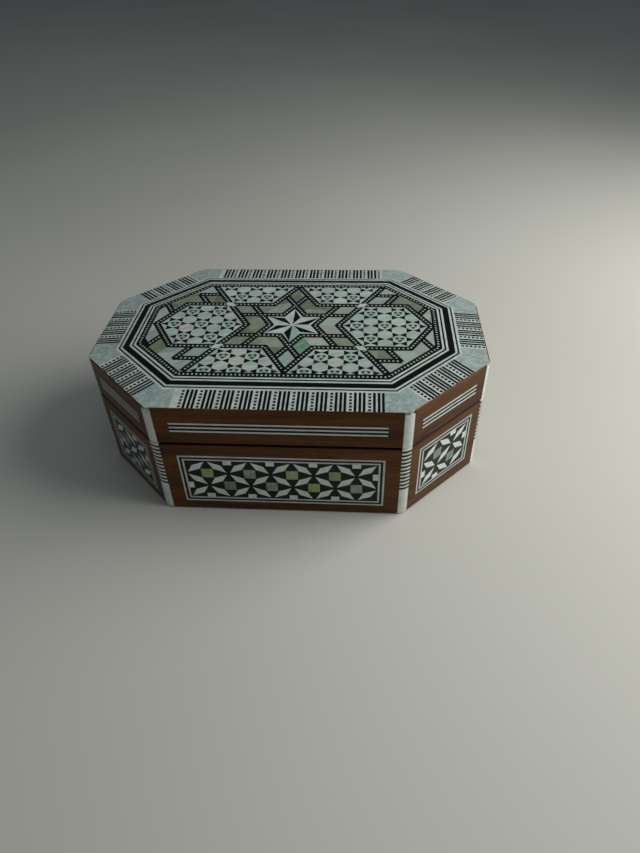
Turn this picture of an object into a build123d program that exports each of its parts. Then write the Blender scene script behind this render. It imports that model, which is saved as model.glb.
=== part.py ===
"""Octagonal wooden box with a hinged, inlaid lid.

Units are millimetres.  The origin is on the table under the middle of the box,
+X runs along the box, +Y to the hinged back and +Z up.

The box is two eight-sided carcasses of mitred boards.  The lid carries a sheet of
marquetry that rises gently from its edge to a flat field, and the sides of the base
carry sunk panels.  Sides and corners are numbered anticlockwise from the right end.
"""
import os
from math import atan2, cos, degrees, hypot, radians, sin, sqrt, tan

from build123d import *

# ---------------------------------------------------------------- driving dimensions
LENGTH = 170.0          # outer size along X
WIDTH = 116.0           # outer size along Y
CORNER_CUT = 33.9       # how far each 45 degree side reaches along X and along Y
EDGE_HEIGHT = 56.2      # height of the lid's outer top edge
PARTING = 38.1          # height of the line between base and lid
RIM_GAP = 0.6           # daylight between the two rims
DOME_RISE = 1.6         # how far the lid's flat field stands above its edge

WALL = 7.0              # thickness of the mitred boards
FELT = 0.7              # felt under the floor
FELT_INSET = 1.5
FLOOR = 4.0             # thickness of the floor board
LINING = 0.9            # velvet on card
RIM_SHOW = 1.6          # bare wood between a lining and its rim
LID_BOARD_BOTTOM = 50.6
VENEER = 1.2            # thickness of every inlaid piece
EDGE_RADIUS = 0.45      # rounding of the outer horizontal edges
LIP = 0.5               # wood left standing outside the lid's border

# Corner strips, set in a groove across each upright corner
STRIP_WIDTH = 4.2
STRIP_THICKNESS = 1.3
STRIP_CROWN = 0.4
BAND_START = 15.2       # below this the base's strips are plain
BAND_PAIRS = 11

# Panels in the sides of the base
PANEL_LONG = 85.0
PANEL_SHORT = 33.0
PANEL_HEIGHT = 26.5
PANEL_BOTTOM = 5.1
RAISED_PANEL = "front_right"    # the side whose panel sits higher than the others
PANEL_RAISE = 1.9
PANEL_BONE_LINE = 0.8
PANEL_EBONY_LINE = 1.0
CELLS_LONG = 9          # half periods of the leaf lattice along a panel
CELLS_SHORT = 3
CELL_ROWS = 3
LEAF_END_GAP = 0.95     # from a lattice point to the tip of a leaf
LEAF_WIDTH = 3.5
LEAF_LEAN = 0.6         # how far a leaf's shoulders stand off its middle
SQUARE = 4.9
EDGE_SQUARE_LONG = 3.5
EDGE_SQUARE_SHORT = 2.2
GREY_SQUARES = {1, 4, 5, 7}     # of a long panel's shell squares, counted in rows from the top left

# Lines in the sides of the lid
LINES_BOTTOM = 44.4
LINE_BONE = 0.8
LINE_EBONY = 1.1
LINES_LONG = 85.8
LINES_SHORT = 33.0

# Lid marquetry, outside to inside
KEY_BORDER = 11.2       # width of the striped border and its corner plates
PLATE_REACH = 9.8       # how far a corner plate reaches along each side
FRAME_BANDS = [
    ("bone", 1.0),
    ("ebony", 0.75),
    ("bone", 0.9),
    ("wide", 2.7),
    ("bone", 0.9),
    ("ebony", 0.8),
    ("bone", 0.9),
    ("dotted", 2.95),
]
FIELD_INSET = KEY_BORDER + sum(width for _, width in FRAME_BANDS)

# Star of the field
STAR_R = 35.7           # centre to tip of the six-pointed star
STAR_SHIFT = (0.8, 0.9) # how far the star's middle lies off the lid's, to the right and the back
FILET = 3.2             # width of the filets that draw it
INNER_LINE = 8.6        # centre to the filets of the inner star
RAY_TRIM = 0.12         # share by which the pinwheel's dark halves stop short of their rays
RAY_SHOULDER = 26.0     # degrees from a ray's middle to its dark half's shoulder
RAY_HEART = 0.5         # centre to the dark halves' inner points
RAY_TIP_TURN = 0.6      # degrees that keep a dark half's tip off its ray's middle

# Shell tone of each tile of the star, anticlockwise from +X.
HALF_TONES = ["pale", "olive", "olive", "rose", "olive", "olive",
              "olive", "rose", "olive", "abalone", "pale", "rose"]
KITE_TONES = ["rose", "rose", "rose", "olive", "pale", "olive"]
# Shell tone of each corner's tiles: beside the long side, the kite, the halves of the
# chevron near the kite and near the box's end, and the kite at the end.
CORNER_TONES = {
    (1, 1): ["pale", "pale", "olive", "olive", "pale"],
    (-1, 1): ["pale", "rose", "olive", "olive", "pale"],
    (-1, -1): ["pale", "pale", "pale", "olive", "pale"],
    (1, -1): ["pale", "olive", "pale", "rose", "pale"],
}
CORNER_SLICES = [(-30, 30), (30, 60), (60, 90)]    # directions that part a corner's joined tiles
KITE_TURN = 30.0        # direction of a corner's kite
KITE_SLACK = 1.0        # how far a kite's direction may be from it
END_TURN = 80.0         # directions beyond this lead to the kite at the end
TRAPEZOID_AT = 0.77     # share of STAR_R from the star's middle to a trapezoid's
KITE_FROM = 0.6         # share of STAR_R beyond which the star's tiles are kites
SAME_PLACE = 3.0        # how close a tile's middle must be to a place to belong there
PINWHEEL_PLACE = 1.0    # the same for the pinwheel
SLIVER = 1.0            # area below which a leftover is no tile

# Hinges, sunk in the rims
HINGE_X = 30.0
HINGE_LENGTH = 16.0
AXIS_INSET = 1.6        # back face to hinge axis
KNUCKLE_R = 1.6
PIN_R = 0.7
PIN_CLEARANCE = 0.05    # round the pin in the lid's knuckle
PIN_SEAT = 0.02         # round the pin in the base's knuckles, which hold it
LEAF_GAP = 0.05         # parting plane to each leaf
HINGE_LEAF = 0.8        # thickness of a leaf
HINGE_LEAF_DEPTH = 4.9  # axis to the leaf's front edge
KNUCKLE_GAP = 0.1
MORTISE_CLEARANCE = 0.3
BEVEL_START = 1.9       # back face to the start of the rims' 45 degree bevel
SCREW_X = 5.0
SCREW_DEPTH = 3.0       # axis to the screws
SCREW_R = 0.55
SCREW_HEAD_R = 1.1
SCREW_LENGTH = 5.5
SLOT_WIDTH = 0.3
SLOT_DEPTH = 0.25

# ---------------------------------------------------------------- derived values
SIDES = ["right", "back_right", "back", "back_left", "left", "front_left", "front", "front_right"]
LONG_SIDES = (2, 6)
BASE_TOP = PARTING - RIM_GAP / 2
LID_BOTTOM = PARTING + RIM_GAP / 2
FIELD_TOP = EDGE_HEIGHT + DOME_RISE
FLOOR_TOP = FELT + FLOOR
SLOPE = degrees(atan2(DOME_RISE, FIELD_INSET))
AXIS_Y = WIDTH / 2 - AXIS_INSET
STAR_S = STAR_R / sqrt(3)
HIGH = 100.0            # taller than anything in the box
CRUMB = 0.02            # volume below which a cut's leftover is dropped
NEAR = 0.01             # how close an edge's middle must be to a place to lie on it


# ---------------------------------------------------------------- shared geometry
def octagon(inset):
    """Corners of the plan outline moved inwards by inset."""
    a = LENGTH / 2 - inset
    b = WIDTH / 2 - inset
    c = CORNER_CUT - inset * (2 - sqrt(2))
    right = [(a, c - b), (a, b - c), (a - c, b), (c - a, b)]
    return right + [(-x, -y) for x, y in right]


def side_ends(side, inset=0.0):
    corners = octagon(inset)
    return corners[side], corners[(side + 1) % 8]


def side_plane(side, inset=0.0):
    """Plane on an outer face: x to the right as seen from outside, y up, z outwards."""
    (x0, y0), (x1, y1) = side_ends(side, inset)
    middle = ((x0 + x1) / 2, (y0 + y1) / 2, 0)
    return Plane(origin=middle, x_dir=(x1 - x0, y1 - y0, 0), z_dir=(y1 - y0, x0 - x1, 0))


def prism(points, bottom, top):
    """Upright prism on a plan outline."""
    return extrude(Pos(0, 0, bottom) * Polygon(*points, align=None), amount=top - bottom, dir=(0, 0, 1))


def prism_on(face, bottom, top):
    """Upright prism on a plan face that lies at height zero."""
    return extrude(Pos(0, 0, bottom) * face, amount=top - bottom, dir=(0, 0, 1))


def solids_of(shape):
    """The solids of a result, without the crumbs that grazing cuts leave."""
    return [solid for solid in shape.solids() if solid.volume > CRUMB]


def side_strip(side, outer, inner):
    """Plan outline of one mitred strip between two insets."""
    p0, p1 = side_ends(side, outer)
    q0, q1 = side_ends(side, inner)
    return [p0, p1, q1, q0]


def slope_plane(side):
    """Plane of the lid's rising surface over one side."""
    upright = side_plane(side)
    inward = -upright.z_dir
    up_slope = inward * cos(radians(SLOPE)) + Vector(0, 0, 1) * sin(radians(SLOPE))
    return Plane(origin=upright.origin + Vector(0, 0, EDGE_HEIGHT), x_dir=upright.x_dir,
                 z_dir=upright.x_dir.cross(up_slope))


def under_slope(side, drop):
    """Everything below the lid's surface over one side, lowered by drop."""
    block = Pos(0, 0, -HIGH / 2) * Box(4 * HIGH, 4 * HIGH, HIGH)
    return Pos(0, 0, -drop) * slope_plane(side) * block


def sloped_piece(side, outline):
    """A veneer piece lying on the rising part of the lid over one side."""
    block = prism(outline, EDGE_HEIGHT - 2 * VENEER, FIELD_TOP + VENEER)
    return (block & under_slope(side, 0.0)) - under_slope(side, VENEER)


def veneer_recess(side):
    """Cutter for the veneer over one wall of the lid, which leaves a lip outside it."""
    block = prism(side_strip(side, LIP, WALL + VENEER), EDGE_HEIGHT - 2 * VENEER, FIELD_TOP + VENEER)
    return block - under_slope(side, VENEER)


def ease_outer_edge(part, side, height):
    """Round the outer edge of a board that runs along a side at a height."""
    outward = side_plane(side).z_dir
    face = side_plane(side).origin.dot(outward)
    edges = [edge for edge in part.edges()
             if abs(edge.center().Z - height) < NEAR and abs(edge.center().dot(outward) - face) < NEAR]
    return fillet(edges, EDGE_RADIUS)


def corner_place(corner):
    """Location of an upright corner: x across the corner, y outwards."""
    x, y = octagon(0)[corner]
    before, after = side_plane((corner - 1) % 8).z_dir, side_plane(corner).z_dir
    outward = (before + after).normalized()
    return Plane(origin=(x, y, 0), x_dir=(outward.Y, -outward.X, 0), z_dir=(0, 0, 1))


def strip_section(crown):
    """Section of a corner strip: flat back and sides, crowned face."""
    half = STRIP_WIDTH / 2
    face = -half * tan(radians(22.5))
    back = face - STRIP_THICKNESS
    outline = Polyline((half, face), (half, back), (-half, back), (-half, face))
    crowned = ThreePointArc((-half, face), (0, face + crown), (half, face))
    return make_face(outline + crowned)


def corner_strip(corner, bottom, top):
    """One length of a corner strip."""
    section = corner_place(corner) * Pos(0, 0, bottom) * strip_section(STRIP_CROWN)
    return extrude(section, amount=top - bottom)


def corner_groove(corner):
    """Cutter for the groove that a corner strip sits in."""
    half = STRIP_WIDTH / 2
    back = -half * tan(radians(22.5)) - STRIP_THICKNESS
    block = Box(STRIP_WIDTH, 2 * STRIP_WIDTH, 2 * HIGH, align=(Align.CENTER, Align.MIN, Align.CENTER))
    return corner_place(corner) * Pos(0, back, 0) * block


def back_groove():
    """Cutter for the two bevels along the back rims, which stop the open lid."""
    start = WIDTH / 2 - BEVEL_START
    run = BEVEL_START + 1.0
    outline = Polyline((start, BASE_TOP), (start, LID_BOTTOM), (start + run, LID_BOTTOM + run),
                       (start + run, BASE_TOP - run), close=True)
    face = Plane.YZ * make_face(outline)
    return Pos(-LENGTH / 2, 0, 0) * extrude(face, amount=LENGTH, dir=(1, 0, 0))


def on_side(side, face, depth=VENEER):
    """A flat face drawn on a side, made into a piece let into that side."""
    plane = side_plane(side)
    return extrude(plane * face, amount=depth, dir=-plane.z_dir)


def save(name, shapes):
    """Write one node: a single solid, or a group of separate solids."""
    solids = [solid for shape in shapes for solid in solids_of(shape)]
    shape = solids[0] if len(solids) == 1 else Compound(solids)
    export_step(shape, f"parts/{name}.step")


# ---------------------------------------------------------------- hinges
def hinge_places():
    """The two hinges, with x along the axis and the parting plane at z = 0."""
    return [Pos(x, AXIS_Y, PARTING) for x in (-HINGE_X, HINGE_X)]


def along_x(radius, length, start):
    """A round bar along X."""
    bar_up = Cylinder(radius, length, align=(Align.CENTER, Align.CENTER, Align.MIN))
    return Pos(start, 0, 0) * Rot(0, 90, 0) * bar_up


def knuckle_spans():
    """Start and length of the three knuckles; the middle one belongs to the lid."""
    third = HINGE_LENGTH / 3
    return [(third * i - HINGE_LENGTH / 2 + KNUCKLE_GAP / 2, third - KNUCKLE_GAP) for i in range(3)]


def screw(up):
    """A countersunk screw whose head is flush with its leaf."""
    head = Cone(SCREW_HEAD_R, SCREW_R, HINGE_LEAF, align=(Align.CENTER, Align.CENTER, Align.MIN))
    shank = Pos(0, 0, HINGE_LEAF) * Cylinder(SCREW_R, SCREW_LENGTH - HINGE_LEAF,
                                                 align=(Align.CENTER, Align.CENTER, Align.MIN))
    slot = Box(2 * SCREW_HEAD_R, SLOT_WIDTH, 2 * SLOT_DEPTH)
    body = Pos(0, 0, LEAF_GAP) * (head + shank - slot)
    return body if up else mirror(body, Plane.XY)


def screw_places():
    return [Pos(x, -SCREW_DEPTH, 0) for x in (-SCREW_X, SCREW_X)]


def hinge_leaf(up):
    """A leaf with its knuckles: the lid's has the middle one, the base's the outer two."""
    plate = Pos(0, -HINGE_LEAF_DEPTH, LEAF_GAP) * Box(HINGE_LENGTH, HINGE_LEAF_DEPTH, HINGE_LEAF,
                                                      align=(Align.CENTER, Align.MIN, Align.MIN))
    plate = plate if up else mirror(plate, Plane.XY)
    for number, (start, length) in enumerate(knuckle_spans()):
        if (number == 1) == up:
            plate += along_x(KNUCKLE_R, length, start)
        else:
            plate -= along_x(KNUCKLE_R + MORTISE_CLEARANCE, length + 2 * KNUCKLE_GAP, start - KNUCKLE_GAP)
    bore = PIN_R + (PIN_CLEARANCE if up else PIN_SEAT)
    leaf = plate - along_x(bore, 2 * HINGE_LENGTH, -HINGE_LENGTH)
    for place in screw_places():
        leaf -= place * screw(up)
    return leaf


def hinge_mortises():
    """Cutters for the barrel and both leaves in the rims."""
    cutters = []
    for place in hinge_places():
        barrel = along_x(KNUCKLE_R + MORTISE_CLEARANCE, HINGE_LENGTH + 2 * MORTISE_CLEARANCE,
                         -HINGE_LENGTH / 2 - MORTISE_CLEARANCE)
        leaves = Box(HINGE_LENGTH, HINGE_LEAF_DEPTH, 2 * (HINGE_LEAF + LEAF_GAP),
                     align=(Align.CENTER, Align.MIN, Align.CENTER))
        cutters += [place * barrel, place * Pos(0, -HINGE_LEAF_DEPTH, 0) * leaves]
        cutters += [place * spot * screw(up) for spot in screw_places() for up in (True, False)]
    return cutters


# ---------------------------------------------------------------- panels of the base
def panel_size(side):
    return (PANEL_LONG, CELLS_LONG) if side in LONG_SIDES else (PANEL_SHORT, CELLS_SHORT)


def panel_bottom(side):
    return PANEL_BOTTOM + (PANEL_RAISE if SIDES[side] == RAISED_PANEL else 0)


def panel_face(side, inset):
    """A panel's rectangle, moved inwards by inset."""
    length, _ = panel_size(side)
    middle = panel_bottom(side) + PANEL_HEIGHT / 2
    return Pos(0, middle) * Rectangle(length - 2 * inset, PANEL_HEIGHT - 2 * inset)


def lattice_point(side, column, row):
    """Point of the leaf lattice; rows run downwards."""
    length, cells = panel_size(side)
    margin = 2 * PANEL_BONE_LINE + PANEL_EBONY_LINE
    x = (length - 2 * margin) * (column / cells - 0.5)
    y = panel_bottom(side) + margin + (PANEL_HEIGHT - 2 * margin) * (1 - row / CELL_ROWS)
    return x, y


def leaf(start, end):
    """A pointed leaf between two lattice points, its shoulders leaning opposite ways."""
    tip = hypot(end[0] - start[0], end[1] - start[1]) / 2 - LEAF_END_GAP
    lean = -LEAF_LEAN if end[1] > start[1] else LEAF_LEAN
    half = LEAF_WIDTH / 2
    outline = Polygon((tip, 0), (lean, half), (-tip, 0), (-lean, -half), align=None)
    turn = degrees(atan2(end[1] - start[1], end[0] - start[0]))
    return Pos((start[0] + end[0]) / 2, (start[1] + end[1]) / 2) * Rot(0, 0, turn) * outline


def panel_leaves(side):
    """Leaves join each star point to its neighbours in the next row."""
    _, cells = panel_size(side)
    leaves = []
    for row in range(CELL_ROWS):
        for column in range(cells):
            rising = (column + row) % 2 == 0
            start = lattice_point(side, column, row + 1 if rising else row)
            end = lattice_point(side, column + 1, row if rising else row + 1)
            leaves.append(leaf(start, end))
    return leaves


def panel_squares(side):
    """Squares between the star points: shell ones inside, small bone ones at the edge."""
    _, cells = panel_size(side)
    shell, bone = [], []
    for row in range(CELL_ROWS + 1):
        for column in range(cells + 1):
            x, y = lattice_point(side, column, row)
            at_end = column in (0, cells)
            at_top = row in (0, CELL_ROWS)
            if (column + row) % 2 or (at_end and at_top):
                continue
            if at_end:
                shift = EDGE_SQUARE_SHORT / 2 * (1 if column == 0 else -1)
                bone.append(Pos(x + shift, y) * Rectangle(EDGE_SQUARE_SHORT, EDGE_SQUARE_LONG))
            elif at_top:
                shift = EDGE_SQUARE_SHORT / 2 * (1 if row else -1)
                bone.append(Pos(x, y + shift) * Rectangle(EDGE_SQUARE_LONG, EDGE_SQUARE_SHORT))
            else:
                shell.append(Pos(x, y) * Rectangle(SQUARE, SQUARE))
    return shell, bone


def make_panels():
    """All eight panels: ruled lines, ebony ground, leaves and squares, all grey in a short panel."""
    bone_lines, ebony_lines, grounds, leaves, olive, grey, edge = [], [], [], [], [], [], []
    first = PANEL_BONE_LINE
    second = first + PANEL_EBONY_LINE
    third = second + PANEL_BONE_LINE
    for side in range(8):
        faces = [panel_face(side, inset) for inset in (0, first, second, third)]
        bone_lines += [on_side(side, faces[0] - faces[1]), on_side(side, faces[2] - faces[3])]
        ebony_lines.append(on_side(side, faces[1] - faces[2]))
        shell, bone = panel_squares(side)
        leaf_faces = panel_leaves(side)
        grounds.append(on_side(side, faces[3] - leaf_faces - shell - bone))
        leaves += [on_side(side, face) for face in leaf_faces]
        edge += [on_side(side, face) for face in bone]
        for number, face in enumerate(shell):
            is_grey = side not in LONG_SIDES or number in GREY_SQUARES
            (grey if is_grey else olive).append(on_side(side, face))
    save("base_panel_bone_lines", bone_lines)
    save("base_panel_ebony_lines", ebony_lines)
    save("base_panel_ebony_grounds", grounds)
    save("base_panel_bone_leaves", leaves)
    save("base_panel_olive_shell_squares", olive)
    save("base_panel_grey_shell_squares", grey)
    save("base_panel_bone_edge_squares", edge)


# ---------------------------------------------------------------- base carcass
def make_base():
    cutters = [corner_groove(corner) for corner in range(8)] + [back_groove()] + hinge_mortises()
    for side, name in enumerate(SIDES):
        board = prism(side_strip(side, 0, WALL), FELT, BASE_TOP)
        board = ease_outer_edge(ease_outer_edge(board, side, FELT), side, BASE_TOP)
        save(f"base_wall_{name}", [board - on_side(side, panel_face(side, 0)) - cutters])
    save("base_floor_board", [prism(octagon(WALL), FELT, FLOOR_TOP)])
    save("base_felt", [prism(octagon(FELT_INSET), 0, FELT)])
    floor_lining = prism(octagon(WALL), FLOOR_TOP, FLOOR_TOP + LINING)
    save("base_floor_lining", [floor_lining])
    lining = [prism(side_strip(side, WALL, WALL + LINING), FLOOR_TOP + LINING, BASE_TOP - RIM_SHOW)
              for side in range(8)]
    save("base_wall_lining", lining)


def make_corner_strips():
    trim = [back_groove()]
    plain, bone_bands, ebony_bands = [], [], []
    band = (BASE_TOP - BAND_START) / (2 * BAND_PAIRS)
    for corner in range(8):
        plain.append(corner_strip(corner, FELT, BAND_START))
        for number in range(2 * BAND_PAIRS):
            bottom = BAND_START + number * band
            piece = corner_strip(corner, bottom, bottom + band) - trim
            (bone_bands if number % 2 else ebony_bands).append(piece)
    save("base_corner_strips_plain", plain)
    save("base_corner_bands_bone", bone_bands)
    save("base_corner_bands_ebony", ebony_bands)
    lid_strips = [corner_strip(corner, LID_BOTTOM, FIELD_TOP) & under_slope(corner, VENEER)
                  & under_slope((corner - 1) % 8, VENEER) for corner in range(8)]
    save("lid_corner_strips", [strip - trim for strip in lid_strips])


# ---------------------------------------------------------------- lid carcass
def line_bars(side):
    """The three bone lines and the two ebony ones between them, on one side of the lid."""
    length = LINES_LONG if side in LONG_SIDES else LINES_SHORT
    bone, ebony = [], []
    bottom = LINES_BOTTOM
    for number in range(5):
        width = LINE_EBONY if number % 2 else LINE_BONE
        bar = on_side(side, Pos(0, bottom + width / 2) * Rectangle(length, width))
        (ebony if number % 2 else bone).append(bar)
        bottom += width
    return bone, ebony


def make_lid():
    cutters = [corner_groove(corner) for corner in range(8)] + [back_groove()] + hinge_mortises()
    bone_lines, ebony_lines = [], []
    for side, name in enumerate(SIDES):
        bone, ebony = line_bars(side)
        bone_lines += bone
        ebony_lines += ebony
        board = prism(side_strip(side, 0, WALL), LID_BOTTOM, FIELD_TOP)
        board = board & under_slope(side, 0.0)
        board = ease_outer_edge(board, side, EDGE_HEIGHT) - veneer_recess(side)
        board = ease_outer_edge(board, side, LID_BOTTOM)
        save(f"lid_wall_{name}", [board - bone - ebony - cutters])
    save("lid_side_bone_lines", bone_lines)
    save("lid_side_ebony_lines", ebony_lines)
    top_board = prism(octagon(WALL), LID_BOARD_BOTTOM, FIELD_TOP - VENEER)
    for side in range(8):
        top_board = top_board & under_slope(side, VENEER)
    save("lid_top_board", [top_board])
    save("lid_top_lining", [prism(octagon(WALL), LID_BOARD_BOTTOM - LINING, LID_BOARD_BOTTOM)])
    lining = [prism(side_strip(side, WALL, WALL + LINING), LID_BOTTOM + RIM_SHOW, LID_BOARD_BOTTOM - LINING)
              for side in range(8)]
    save("lid_wall_lining", lining)


def make_hinges():
    places = hinge_places()
    save("hinge_lower_leaves", [place * hinge_leaf(False) for place in places])
    save("hinge_upper_leaves", [place * hinge_leaf(True) for place in places])
    save("hinge_pins", [place * along_x(PIN_R, HINGE_LENGTH, -HINGE_LENGTH / 2) for place in places])
    save("hinge_lower_screws", [place * spot * screw(False) for place in places for spot in screw_places()])
    save("hinge_upper_screws", [place * spot * screw(True) for place in places for spot in screw_places()])


# ---------------------------------------------------------------- lid border and frame
def point_along(side, inset, distance):
    """Point on a side moved inwards by inset, at a distance from the side's middle."""
    (x0, y0), (x1, y1) = side_ends(side, inset)
    length = hypot(x1 - x0, y1 - y0)
    part = 0.5 + distance / length
    return x0 + (x1 - x0) * part, y0 + (y1 - y0) * part


def strip_half(side):
    """Half the length of the striped border on a side, between its corner plates."""
    (x0, y0), (x1, y1) = side_ends(side)
    return hypot(x1 - x0, y1 - y0) / 2 - PLATE_REACH


def make_border():
    strips, halves = [], []
    for side in range(8):
        half = strip_half(side)
        corners = [point_along(side, LIP, -half), point_along(side, LIP, half),
                   point_along(side, KEY_BORDER, half), point_along(side, KEY_BORDER, -half)]
        strips.append(sloped_piece(side, corners))
        o0, o1 = side_ends(side, LIP)
        i0, i1 = side_ends(side, KEY_BORDER)
        right = sloped_piece(side, [corners[1], o1, i1, corners[2]])
        left = sloped_piece(side, [o0, corners[0], corners[3], i0])
        halves.append((left, right))
    save("lid_border_strips", strips)
    save("lid_corner_plates", [halves[corner][0] + halves[corner - 1][1] for corner in range(8)])


def make_frame():
    """Mitred strips between the border and the field."""
    groups = {"bone": [], "ebony": [], "wide": [], "dotted": []}
    inset = KEY_BORDER
    for kind, width in FRAME_BANDS:
        groups[kind] += [sloped_piece(side, side_strip(side, inset, inset + width)) for side in range(8)]
        inset += width
    save("lid_frame_bone_lines", groups["bone"])
    save("lid_frame_ebony_lines", groups["ebony"])
    save("lid_frame_ebony_band", groups["wide"])
    save("lid_frame_dotted_band", groups["dotted"])


# ---------------------------------------------------------------- lid field
def bar(start, end):
    """Plan face of a filet between two points, lengthened enough to close a mitred bend."""
    length = hypot(end[0] - start[0], end[1] - start[1])
    turn = degrees(atan2(end[1] - start[1], end[0] - start[0]))
    extra = FILET / 2 * tan(radians(30))
    middle = Pos((start[0] + end[0]) / 2, (start[1] + end[1]) / 2)
    return middle * Rot(0, 0, turn) * Rectangle(length + 2 * extra, FILET)


def four_ways(points):
    """A chain of points mirrored into all four quarters of the field."""
    return [[(sx * x, sy * y) for x, y in points] for sx in (1, -1) for sy in (1, -1)]


def outer_chains():
    """Centre lines of the filets of the star, the side hexagons and the slanted ends."""
    s, r = STAR_S, STAR_R
    to_tip = [(0, r), (0.5 * s, r / 2), (1.5 * s, r / 2), (2.5 * s, r / 2), (3 * s, 0)]
    through_hub = [(s, 0), (1.5 * s, r / 2), (2 * s, r)]
    return four_ways(to_tip) + four_ways(through_hub)


def star_lines(centre, near):
    """The twelve filets of an inner star, each from `near` outwards to the outer filets."""
    far = (STAR_R + INNER_LINE) / (2 * cos(radians(30)))
    lines = []
    for number in range(6):
        angle = radians(30 + 60 * number)
        foot = (centre[0] + INNER_LINE * cos(angle), centre[1] + INNER_LINE * sin(angle))
        for way in (1, -1):
            step = (-sin(angle) * way, cos(angle) * way)
            lines.append([(foot[0] + step[0] * t, foot[1] + step[1] * t) for t in (near, far)])
    return lines


def wedge(centre, start, end):
    """A slice of the plane about a centre, between two angles in degrees."""
    arms = [(centre[0] + HIGH * cos(radians(a)), centre[1] + HIGH * sin(radians(a))) for a in (start, end)]
    return Polygon(centre, *arms, align=None)


def faces_within(face, area):
    """Parts of a face that lie inside an area."""
    common = face & area
    return common.faces() if common else []


def polar(radius, angle):
    return radius * cos(radians(angle)), radius * sin(radians(angle))


def pinwheel():
    """Plan faces of the middle star: the pale part and the dark half of each ray."""
    reach = INNER_LINE - FILET / 2
    pale, dark = [], []
    for number in range(6):
        angle = 30 + 60 * number
        tip = polar(2 * reach, angle)
        notch = polar(reach / cos(radians(30)), angle - 30)
        next_notch = polar(reach / cos(radians(30)), angle + 30)
        ray = Polygon((0, 0), notch, tip, next_notch, align=None)
        shoulder = polar(reach / cos(radians(30)) * (1 - RAY_TRIM), angle - RAY_SHOULDER)
        point = polar(2 * reach * (1 - RAY_TRIM / 2), angle - RAY_TIP_TURN)
        half = Polygon(polar(RAY_HEART, angle), shoulder, point, align=None)
        pale.append(ray - half)
        dark.append(half)
    return pale, dark


def corner_centres():
    """Middles of the four neighbouring stars that the field's corners cut off."""
    return [(sx * 3 * STAR_S, sy * STAR_R) for sx, sy in ((1, 1), (-1, 1), (-1, -1), (1, -1))]


def sort_star_tile(face, tiles):
    """Cut the chevrons of the star along their middles; leave the kites whole."""
    centre = face.center()
    if hypot(centre.X, centre.Y) > KITE_FROM * STAR_R:
        number = round((degrees(atan2(centre.Y, centre.X)) - 30) / 60) % 6
        tiles[KITE_TONES[number]].append(face)
        return
    for number in range(12):
        tiles[HALF_TONES[number]] += faces_within(face, wedge((0, 0), 30 * number, 30 * number + 30))


def corner_slice(signs, start, end):
    """A slice about a neighbouring star's middle; 0 points to the box's middle, 90 past its end."""
    sx, sy = signs
    x, y = sx * 3 * STAR_S, sy * STAR_R
    arms = [(x - sx * HIGH * cos(radians(a)), y - sy * HIGH * sin(radians(a))) for a in (start, end)]
    return Polygon((x, y), *arms, align=None)


def sort_corner_tile(face, tiles):
    """Give a corner's tile its tone; a tile that runs round the filets' ends is cut up."""
    here = face.center()
    signs = (1 if here.X > 0 else -1, 1 if here.Y > 0 else -1)
    beside, kite, near_kite, near_end, end = CORNER_TONES[signs]
    turn = degrees(atan2(STAR_R - abs(here.Y), 3 * STAR_S - abs(here.X)))
    if turn > END_TURN:
        tiles[end].append(face)
    elif abs(turn - KITE_TURN) < KITE_SLACK:
        tiles[kite].append(face)
    else:
        for tone, arms in zip((beside, near_kite, near_end), CORNER_SLICES):
            tiles[tone] += faces_within(face, corner_slice(signs, *arms))


def make_field():
    shift = Pos(*STAR_SHIFT)
    field = shift.inverse() * Polygon(*octagon(FIELD_INSET), align=None)
    outer = [bar(a, b) for chain in outer_chains() for a, b in zip(chain, chain[1:])]
    outer_net = field & (outer[0] + outer[1:])
    tip = INNER_LINE * tan(radians(60))
    inner = [bar(*ends) for ends in star_lines((0, 0), INNER_LINE * tan(radians(30)))]
    for centre in corner_centres():
        inner += [bar(*ends) for ends in star_lines(centre, tip)]
    inner_net = (field & (inner[0] + inner[1:])) - outer_net
    hubs = make_hubs()
    tiles = {"pale": [], "olive": [], "rose": [], "abalone": []}
    hexagons, trapezoids = [], []
    for face in (field - outer_net - inner_net).faces():
        x, y = abs(face.center().X), abs(face.center().Y)
        if hypot(x, y) < PINWHEEL_PLACE or face.area < SLIVER:
            continue
        if hypot(x - 2 * STAR_S, y) < SAME_PLACE:
            hexagons.append(face)
        elif hypot(x - STAR_S, y - TRAPEZOID_AT * STAR_R) < SAME_PLACE:
            trapezoids.append(face)
        elif hypot(x, y) < STAR_R and x < 1.5 * STAR_S:
            sort_star_tile(face, tiles)
        else:
            sort_corner_tile(face, tiles)
    pale_rays, dark_rays = pinwheel()
    tiles["abalone"].append(pale_rays.pop(4))
    nodes = {
        "lid_star_outer_filets": [outer_net - hubs],
        "lid_star_inner_filets": [inner_net],
        "lid_star_hubs": hubs,
        "lid_mosaic_hexagons": hexagons,
        "lid_mosaic_trapezoids": trapezoids,
        "lid_pinwheel_bone_rays": pale_rays,
        "lid_pinwheel_ebony_rays": dark_rays,
        "lid_pale_shell_tiles": tiles["pale"],
        "lid_olive_shell_tiles": tiles["olive"],
        "lid_rose_shell_tiles": tiles["rose"],
        "lid_abalone_tiles": tiles["abalone"],
    }
    for name, faces in nodes.items():
        save(name, [prism_on(shift * face, FIELD_TOP - VENEER, FIELD_TOP) for face in faces])


def make_hubs():
    """Bone lozenges where the filets cross at the four side tips of the star."""
    across = FILET / sin(radians(60)) / 2
    hubs = []
    for sx in (1, -1):
        for sy in (1, -1):
            centre = (sx * 1.5 * STAR_S, sy * STAR_R / 2)
            slant = FILET / 2 / tan(radians(60)) * sx * sy
            top, bottom = centre[1] + FILET / 2, centre[1] - FILET / 2
            hubs.append(Polygon((centre[0] + slant + across, top), (centre[0] + slant - across, top),
                                (centre[0] - slant - across, bottom), (centre[0] - slant + across, bottom),
                                align=None))
    return hubs


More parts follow.
